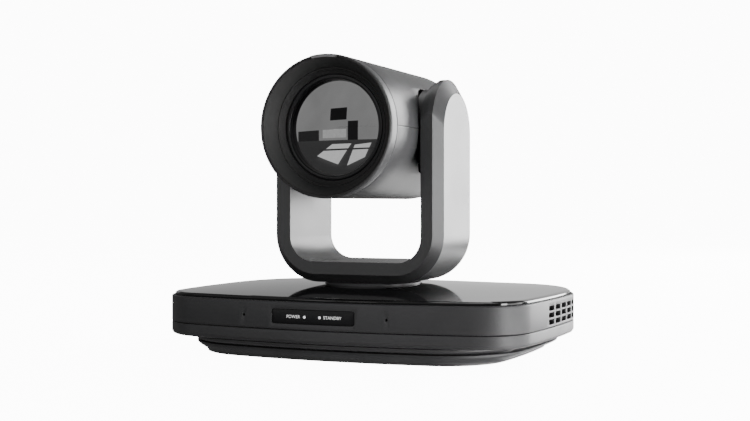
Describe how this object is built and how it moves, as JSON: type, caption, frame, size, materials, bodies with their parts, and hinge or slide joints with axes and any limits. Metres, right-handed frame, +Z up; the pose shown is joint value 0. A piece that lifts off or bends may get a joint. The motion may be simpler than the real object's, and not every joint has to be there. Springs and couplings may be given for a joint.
{
  "type": "pan-tilt-zoom conference camera",
  "caption": "Pan-tilt-zoom camera: a cylindrical camera head with a wide lens tilts in a U-shaped yoke that turns on a wide low base with a glossy top plate.",
  "frame": {"origin": "middle of the footprint at the level of the rubber feet", "axes": "+Z up, -Y the front (the way the lens looks at rest), +X to the right seen from the front"},
  "size_m": [0.24, 0.186, 0.1796],
  "materials": {
    "base_housing_grey": "fine matte texture",
    "gloss_black": "high gloss",
    "smoked_window": "smoked gloss",
    "lamp_white": "diffuse",
    "rubber_black": "matte",
    "sheet_steel": "satin black",
    "brass_insert": "machined",
    "screw_steel": "dark oxide",
    "socket_black": "moulded",
    "socket_metal": "plated",
    "board_green": "solder mask",
    "aluminium_raw": "extruded",
    "motor_metal": "plated",
    "bearing_steel": "ground",
    "gear_white": "acetal",
    "sensor_black": "moulded",
    "yoke_grey": "satin paint",
    "head_grey": "satin paint",
    "hub_black": "matte",
    "ring_black": "matte",
    "lens_black": "black anodised",
    "lens_glass": "coated",
    "sensor_glass": "cover glass"
  },
  "bodies": {
    "base": {"base_top_plate": "gloss_black", "base_upper_housing": "base_housing_grey", "base_lower_housing": "base_housing_grey", "base_plinth": "base_housing_grey", "bottom_plate": "sheet_steel", "rubber_feet": "rubber_black", "tripod_insert": "brass_insert", "bottom_screws": "screw_steel", "indicator_window": "smoked_window", "indicator_lamps": "lamp_white", "microphones": "sensor_black", "rear_connector_panel": "sheet_steel", "power_inlet": "socket_black", "network_socket": "socket_metal", "video_and_usb_sockets": "socket_metal", "bnc_socket": "socket_metal", "audio_jacks": "socket_black", "main_board": "board_green", "heat_sink": "aluminium_raw", "pan_bearings": "bearing_steel", "pan_bearing_housing": "aluminium_raw", "pan_motor": "motor_metal", "pan_home_sensor": "sensor_black"},
    "yoke": {"turntable": "aluminium_raw", "pan_gear": "gear_white", "yoke_front_shell": "yoke_grey", "yoke_rear_shell": "yoke_grey", "yoke_side_panels": "yoke_grey", "yoke_screws": "screw_steel", "yoke_board": "board_green", "tilt_bearings": "bearing_steel", "tilt_motor": "motor_metal", "tilt_home_sensor": "sensor_black"},
    "camera_head": {"front_ring": "ring_black", "tally_lamp": "lamp_white", "front_cowl": "head_grey", "upper_shell": "head_grey", "lower_shell": "head_grey", "rear_cap": "head_grey", "rear_cap_screws": "screw_steel", "tilt_hub_left": "hub_black", "tilt_hub_right": "hub_black", "hub_rings": "hub_black", "tilt_gear": "gear_white", "retaining_ring": "lens_black", "front_lens": "lens_glass", "lens_barrel": "lens_black", "lens_chassis": "aluminium_raw", "iris_unit": "lens_black", "guide_rods": "bearing_steel", "lens_motors": "motor_metal", "image_sensor": "sensor_glass", "sensor_board": "board_green", "head_board": "board_green"},
    "pan_motor_rotor": {"pan_pinion": "gear_white"},
    "tilt_motor_rotor": {"tilt_pinion": "gear_white"},
    "zoom_carriage": {"zoom_group": "lens_black"},
    "focus_carriage": {"focus_group": "lens_black"},
    "zoom_screw": {"zoom_lead_screw": "bearing_steel"},
    "focus_screw": {"focus_lead_screw": "bearing_steel"}
  },
  "joints": [
    {"name": "pan", "type": "hinge", "parent": "base", "child": "yoke", "pos_m": [0, -0.0072, 0.04], "axis": [0, 0, 1], "range_deg": [-170, 170]},
    {"name": "tilt", "type": "hinge", "parent": "yoke", "child": "camera_head", "pos_m": [0, -0.0072, 0.1376], "axis": [-1, 0, 0], "range_deg": [-30, 90]},
    {"name": "pan_pinion_spin", "type": "hinge", "parent": "base", "child": "pan_motor_rotor", "pos_m": [0, 0.029, 0.0275], "axis": [0, 0, 1], "range_deg": [-860, 860]},
    {"name": "tilt_pinion_spin", "type": "hinge", "parent": "yoke", "child": "tilt_motor_rotor", "pos_m": [-0.051, -0.0072, 0.11345], "axis": [-1, 0, 0], "range_deg": [-370, 130]},
    {"name": "zoom_slide", "type": "slide", "parent": "camera_head", "child": "zoom_carriage", "axis": [0, 1, 0], "range_m": [0, 0.012]},
    {"name": "focus_slide", "type": "slide", "parent": "camera_head", "child": "focus_carriage", "axis": [0, 1, 0], "range_m": [0, 0.012]},
    {"name": "zoom_screw_spin", "type": "hinge", "parent": "camera_head", "child": "zoom_screw", "pos_m": [-0.01732, -0.0072, 0.15492], "axis": [0, 1, 0], "range_deg": [-10, 2170]},
    {"name": "focus_screw_spin", "type": "hinge", "parent": "camera_head", "child": "focus_screw", "pos_m": [0.01732, -0.0072, 0.12028], "axis": [0, 1, 0], "range_deg": [-10, 2170]}
  ],
  "couplings": [
    {"joint": "pan_pinion_spin", "follows": "pan", "ratio": -5},
    {"joint": "tilt_pinion_spin", "follows": "tilt", "ratio": -4},
    {"joint": "zoom_screw_spin", "follows": "zoom_slide", "rad_per_m": 3141.6},
    {"joint": "focus_screw_spin", "follows": "focus_slide", "rad_per_m": 3141.6}
  ]
}
